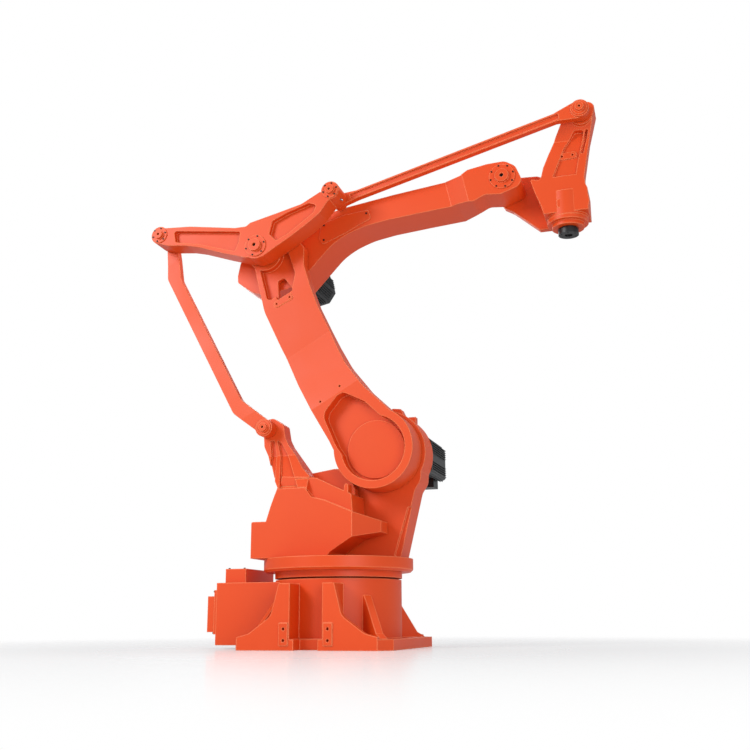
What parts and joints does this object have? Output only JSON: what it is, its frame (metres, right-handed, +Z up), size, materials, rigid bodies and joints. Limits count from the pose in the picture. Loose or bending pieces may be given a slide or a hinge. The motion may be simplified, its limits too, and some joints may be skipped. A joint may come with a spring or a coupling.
{
  "type": "palletising robot arm",
  "caption": "Floor-mounted palletising robot arm with a slewing base, lower and upper arms, parallel link rods that keep the wrist level, and a turning tool flange.",
  "frame": {"origin": "on the floor at the slewing axis, centre of the foot bolt pattern", "axes": "+Z up along the slewing axis, +X the way the arm reaches, +Y away from the link rods"},
  "size_m": [2.4416, 0.996, 2.7031],
  "materials": {
    "orange_paint": "satin orange powder coat over cast iron",
    "black_finish": "matt black anodised motor and flange finish",
    "bare_steel": "ground steel"
  },
  "bodies": {
    "base": {"base_casting": "orange_paint", "rear_cabinet": "orange_paint", "cabinet_cover": "orange_paint", "connector_panel": "orange_paint", "connector_near": "orange_paint", "connector_far": "orange_paint"},
    "turntable": {"slewing_ring": "orange_paint", "turntable_plate": "orange_paint", "drive_housing": "orange_paint", "rod_tower": "orange_paint", "shoulder_cheek": "orange_paint", "shoulder_reducer": "bare_steel", "tower_pin": "bare_steel", "shoulder_motor": "black_finish", "shoulder_motor_cap": "black_finish", "shoulder_motor_plug": "black_finish"},
    "lower_arm": {"lower_arm": "orange_paint", "shoulder_cover": "orange_paint"},
    "knuckle": {"knuckle_link": "orange_paint", "elbow_shaft": "bare_steel", "knuckle_rear_pin": "bare_steel", "knuckle_front_pin": "bare_steel", "knuckle_rear_cap": "orange_paint", "knuckle_front_cap": "orange_paint", "knuckle_elbow_cap": "orange_paint", "rear_pin_keeper": "bare_steel", "front_pin_keeper": "bare_steel"},
    "rear_rod": {"rear_rod": "orange_paint", "rear_rod_cap": "orange_paint"},
    "upper_arm": {"upper_arm": "orange_paint", "upper_arm_cover": "orange_paint", "wrist_cap": "orange_paint", "wrist_shaft": "bare_steel", "elbow_reducer": "orange_paint", "elbow_motor": "black_finish", "elbow_motor_cap": "black_finish", "elbow_motor_plug": "black_finish"},
    "upper_rod": {"upper_rod": "orange_paint", "upper_rod_cap": "orange_paint"},
    "wrist": {"wrist_bracket": "orange_paint", "bracket_pin": "bare_steel", "wrist_collar": "orange_paint"},
    "tool": {"tool_flange": "black_finish"}
  },
  "joints": [
    {"name": "slew", "type": "hinge", "parent": "base", "child": "turntable", "pos_m": [0, 0, 0], "axis": [0, 0, 1], "range_deg": [-180, 180]},
    {"name": "shoulder", "type": "hinge", "parent": "turntable", "child": "lower_arm", "pos_m": [0.24, 0, 0.97], "axis": [0, 1, 0], "range_deg": [-10, 110]},
    {"name": "rear_rod_pivot", "type": "hinge", "parent": "turntable", "child": "rear_rod", "pos_m": [-0.34, 0, 1.1], "axis": [0, 1, 0], "range_deg": [-10, 110]},
    {"name": "knuckle_pivot", "type": "hinge", "parent": "lower_arm", "child": "knuckle", "pos_m": [-0.39719, 0, 2.09165], "axis": [0, 1, 0], "range_deg": [-110, 10]},
    {"name": "elbow", "type": "hinge", "parent": "knuckle", "child": "upper_arm", "pos_m": [-0.39719, 0, 2.09165], "axis": [0, 1, 0], "range_deg": [-8, 42]},
    {"name": "upper_rod_pivot", "type": "hinge", "parent": "knuckle", "child": "upper_rod", "pos_m": [0.02582, 0, 2.35665], "axis": [0, 1, 0], "range_deg": [-8, 42]},
    {"name": "wrist_pivot", "type": "hinge", "parent": "upper_arm", "child": "wrist", "pos_m": [0.92233, 0, 2.37694], "axis": [0, 1, 0], "range_deg": [-42, 8]},
    {"name": "tool_turn", "type": "hinge", "parent": "wrist", "child": "tool", "pos_m": [1.23933, 0, 2.04794], "axis": [0, 0, 1], "range_deg": [-300, 300]}
  ],
  "couplings": [
    {"joint": "rear_rod_pivot", "follows": "shoulder", "ratio": 1},
    {"joint": "knuckle_pivot", "follows": "shoulder", "ratio": -1},
    {"joint": "upper_rod_pivot", "follows": "elbow", "ratio": 1},
    {"joint": "wrist_pivot", "follows": "elbow", "ratio": -1}
  ]
}
